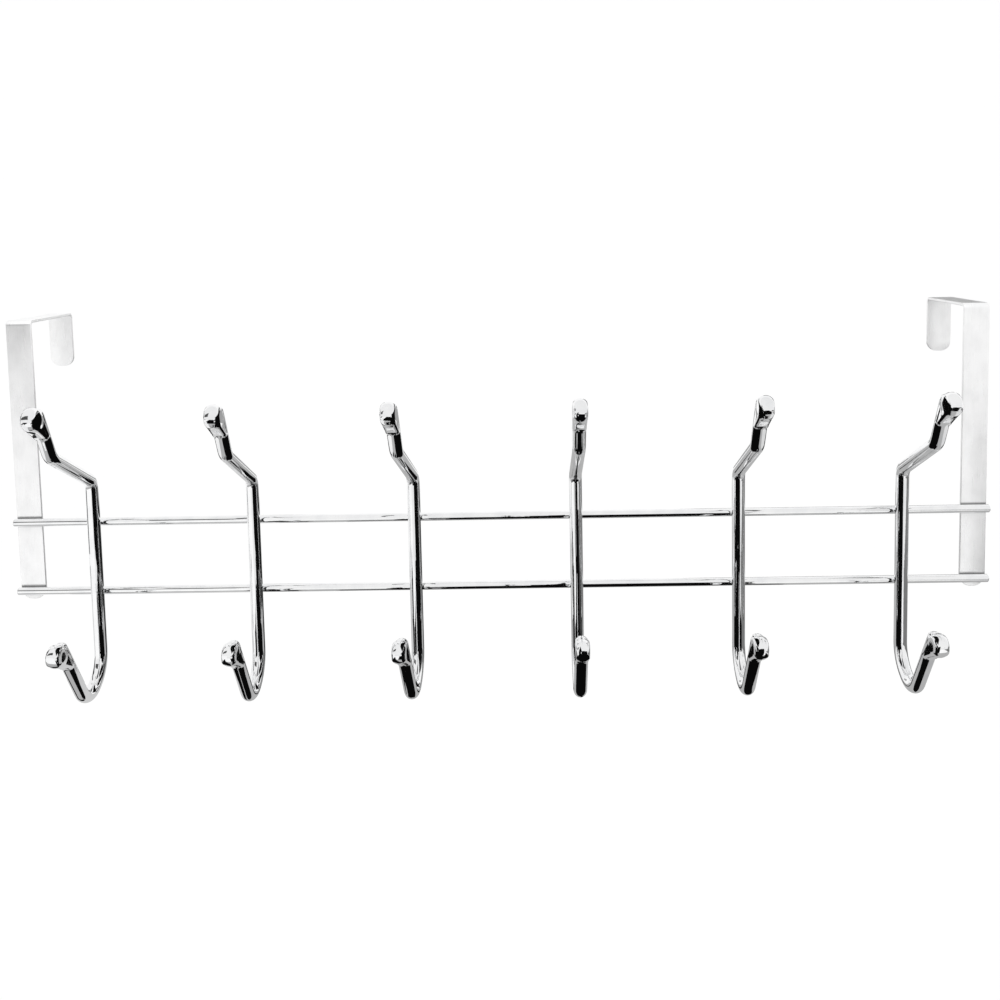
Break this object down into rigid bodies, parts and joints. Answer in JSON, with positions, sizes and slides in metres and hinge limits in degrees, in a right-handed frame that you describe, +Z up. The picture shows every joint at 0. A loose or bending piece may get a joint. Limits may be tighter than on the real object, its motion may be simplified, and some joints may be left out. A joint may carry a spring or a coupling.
{
  "type": "over-door hook rack",
  "caption": "Over-door coat rack: bent-wire double hooks with bulb tips, welded across thin rods that join folded door straps",
  "frame": {"origin": "middle of the door's top edge, in the plane of the undersides of the straps' ledges, half way between the straps and half way through the door gap", "axes": "+X along the rack to the viewer's right, -Y towards the viewer in front of the door, +Z up"},
  "size_m": [0.4262, 0.099, 0.1625],
  "materials": {
    "satin_strap": "thin bright plating over rolled strip, with fine grain along its length",
    "bright_rod": "bright chrome plating on drawn rod",
    "bright_hook": "mirror-bright chrome plating on bent and headed wire"
  },
  "bodies": {
    "root": {"left_strap": "satin_strap", "right_strap": "satin_strap", "upper_rod": "bright_rod", "lower_rod": "bright_rod", "hook_1": "bright_hook", "hook_2": "bright_hook", "hook_3": "bright_hook", "hook_4": "bright_hook", "hook_5": "bright_hook", "hook_6": "bright_hook"}
  },
  "joints": []
}
